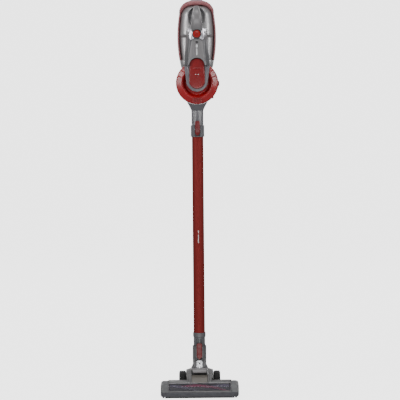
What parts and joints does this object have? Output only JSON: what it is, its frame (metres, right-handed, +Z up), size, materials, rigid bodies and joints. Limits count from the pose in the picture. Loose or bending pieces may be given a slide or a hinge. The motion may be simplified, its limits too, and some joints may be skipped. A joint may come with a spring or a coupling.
{
  "type": "cordless stick vacuum",
  "caption": "Upright cordless stick vacuum: powered floor head on a swivel neck, red metal wand, round dust cup and silver hand unit with a bridge handle.",
  "frame": {"origin": "on the floor under the wand axis, at the middle of the rear lint strip", "axes": "+Z up along the wand, +X to the right seen from the front, the brush and the front of the machine face -Y"},
  "size_m": [0.231, 0.1516, 1.167],
  "materials": {
    "grey_plastic": "satin moulded",
    "sole_plastic": "satin moulded",
    "clear_window": "clear polished",
    "cap_plastic": "satin moulded",
    "bumper_rubber": "matt soft",
    "lint_fabric": "short pile",
    "steel": "drawn",
    "motor_metal": "satin",
    "belt_rubber": "matt ribbed",
    "brush_plastic": "satin moulded",
    "bristle_nylon": "cut bristle",
    "pulley_plastic": "satin moulded",
    "tyre_rubber": "matt",
    "roller_plastic": "satin",
    "silver_plastic": "metallic gloss",
    "neck_plastic": "satin moulded",
    "brass": "polished",
    "red_plastic": "gloss moulded",
    "red_tube": "red anodised satin",
    "cable_rubber": "matt",
    "smoked_clear": "clear moulded",
    "filter_mesh": "perforated",
    "filter_paper": "pleated",
    "seal_rubber": "matt",
    "silver_shell": "metallic gloss",
    "burgundy_trim": "gloss moulded",
    "pale_shell": "satin moulded",
    "cell_sleeve": "shrink sleeve",
    "board": "solder mask",
    "button_red": "gloss moulded"
  },
  "bodies": {
    "head": {"head_sole": "sole_plastic", "head_cover": "grey_plastic", "brush_window": "clear_window", "left_end_cap": "cap_plastic", "right_end_cap": "cap_plastic", "front_bumper": "bumper_rubber", "lint_strips": "lint_fabric", "head_screws": "steel", "brush_motor": "motor_metal", "drive_belt": "belt_rubber", "pitch_pins": "steel", "wheel_axles": "steel", "brush_bearings": "brass"},
    "brush": {"brush_core": "brush_plastic", "brush_bristles": "bristle_nylon", "brush_pulley": "pulley_plastic"},
    "motor_drive": {"motor_pulley": "brass"},
    "left_wheel": {"left_wheel_hub": "brush_plastic", "left_wheel_tyre": "tyre_rubber"},
    "right_wheel": {"right_wheel_hub": "brush_plastic", "right_wheel_tyre": "tyre_rubber"},
    "left_roller": {"left_front_roller": "roller_plastic"},
    "right_roller": {"right_front_roller": "roller_plastic"},
    "cradle": {"swivel_cradle": "silver_plastic", "swivel_pin": "steel"},
    "neck": {"neck_shell": "neck_plastic", "neck_contacts": "brass", "neck_latch_pin": "steel", "neck_latch_spring": "steel"},
    "neck_button": {"neck_latch_button": "red_plastic"},
    "wand": {"wand_tube": "red_tube", "wand_lower_fitting": "neck_plastic", "wand_upper_fitting": "neck_plastic", "wand_cable": "cable_rubber", "wand_latch_pin": "steel", "wand_latch_spring": "steel"},
    "wand_button": {"wand_latch_button": "red_plastic"},
    "cup_unit": {"inlet_neck": "grey_plastic", "dust_cup": "smoked_clear", "cup_ring": "red_plastic", "tongue_frame": "grey_plastic", "cyclone_cone": "neck_plastic", "mesh_filter": "filter_mesh", "pleated_filter": "filter_paper", "cup_seals": "seal_rubber", "cup_pins": "steel", "release_pin": "steel"},
    "cup_release": {"release_panel": "red_plastic"},
    "rear_door": {"cup_door": "smoked_clear"},
    "door_catch": {"door_latch": "red_plastic"},
    "power_unit": {"front_shell": "silver_shell", "trim_band": "burgundy_trim", "rear_shell": "pale_shell", "suction_motor": "motor_metal", "battery_pack": "cell_sleeve", "circuit_board": "board", "charging_socket": "roller_plastic"},
    "fan": {"fan_wheel": "pulley_plastic"},
    "switch": {"power_button": "button_red"}
  },
  "joints": [
    {"name": "brush_spin", "type": "hinge", "parent": "head", "child": "brush", "pos_m": [0, -0.042, 0.019], "axis": [1, 0, 0], "continuous": true},
    {"name": "motor_spin", "type": "hinge", "parent": "head", "child": "motor_drive", "pos_m": [0, -0.0082, 0.02], "axis": [1, 0, 0], "continuous": true},
    {"name": "left_wheel_spin", "type": "hinge", "parent": "head", "child": "left_wheel", "pos_m": [-0.0515, 0.038, 0.0315], "axis": [1, 0, 0], "continuous": true},
    {"name": "right_wheel_spin", "type": "hinge", "parent": "head", "child": "right_wheel", "pos_m": [0.0515, 0.038, 0.0315], "axis": [1, 0, 0], "continuous": true},
    {"name": "left_roller_spin", "type": "hinge", "parent": "head", "child": "left_roller", "pos_m": [-0.107, -0.056, 0.005], "axis": [1, 0, 0], "continuous": true},
    {"name": "right_roller_spin", "type": "hinge", "parent": "head", "child": "right_roller", "pos_m": [0.107, -0.056, 0.005], "axis": [1, 0, 0], "continuous": true},
    {"name": "neck_pitch", "type": "hinge", "parent": "head", "child": "cradle", "pos_m": [0, 0.012, 0.05], "axis": [-1, 0, 0], "range_deg": [0, 80]},
    {"name": "neck_swivel", "type": "hinge", "parent": "cradle", "child": "neck", "pos_m": [0, 0, 0.0957], "axis": [0, 1, 0], "range_deg": [-35, 35]},
    {"name": "neck_latch_press", "type": "hinge", "parent": "neck", "child": "neck_button", "pos_m": [0, -0.02, 0.13], "axis": [1, 0, 0], "range_deg": [0, 5], "stiffness_Nm_per_rad": 2, "springref_deg": -1.72},
    {"name": "wand_pull", "type": "slide", "parent": "neck", "child": "wand", "axis": [0, 0, 1], "range_m": [0, 0.05]},
    {"name": "wand_latch_press", "type": "hinge", "parent": "wand", "child": "wand_button", "pos_m": [0, -0.02, 0.79], "axis": [1, 0, 0], "range_deg": [0, 5], "stiffness_Nm_per_rad": 2, "springref_deg": -1.72},
    {"name": "hand_unit_pull", "type": "slide", "parent": "wand", "child": "cup_unit", "axis": [0, 0, 1], "range_m": [0, 0.06]},
    {"name": "cup_release_press", "type": "hinge", "parent": "cup_unit", "child": "cup_release", "pos_m": [0, -0.05, 0.913], "axis": [-1, 0, 0], "range_deg": [0, 3], "stiffness_Nm_per_rad": 4, "springref_deg": -1.72},
    {"name": "rear_door_swing", "type": "hinge", "parent": "cup_unit", "child": "rear_door", "pos_m": [-0.0575, 0.056, 0.925], "axis": [0, 0, 1], "range_deg": [0, 95]},
    {"name": "door_catch_press", "type": "hinge", "parent": "cup_unit", "child": "door_catch", "pos_m": [0.061, 0.04, 0.925], "axis": [0, 0, -1], "range_deg": [0, 8], "stiffness_Nm_per_rad": 1, "springref_deg": -2.86},
    {"name": "body_lift", "type": "slide", "parent": "cup_unit", "child": "power_unit", "axis": [0, 0, 1], "range_m": [0, 0.07]},
    {"name": "switch_press", "type": "slide", "parent": "power_unit", "child": "switch", "axis": [0, 1, 0], "range_m": [0, 0.0012], "stiffness_N_per_m": 1500, "springref_m": -0.0008},
    {"name": "fan_spin", "type": "hinge", "parent": "power_unit", "child": "fan", "pos_m": [0, -0.004, 1.01], "axis": [0, 0, 1], "continuous": true}
  ],
  "couplings": [
    {"joint": "motor_spin", "follows": "brush_spin", "ratio": 2}
  ]
}
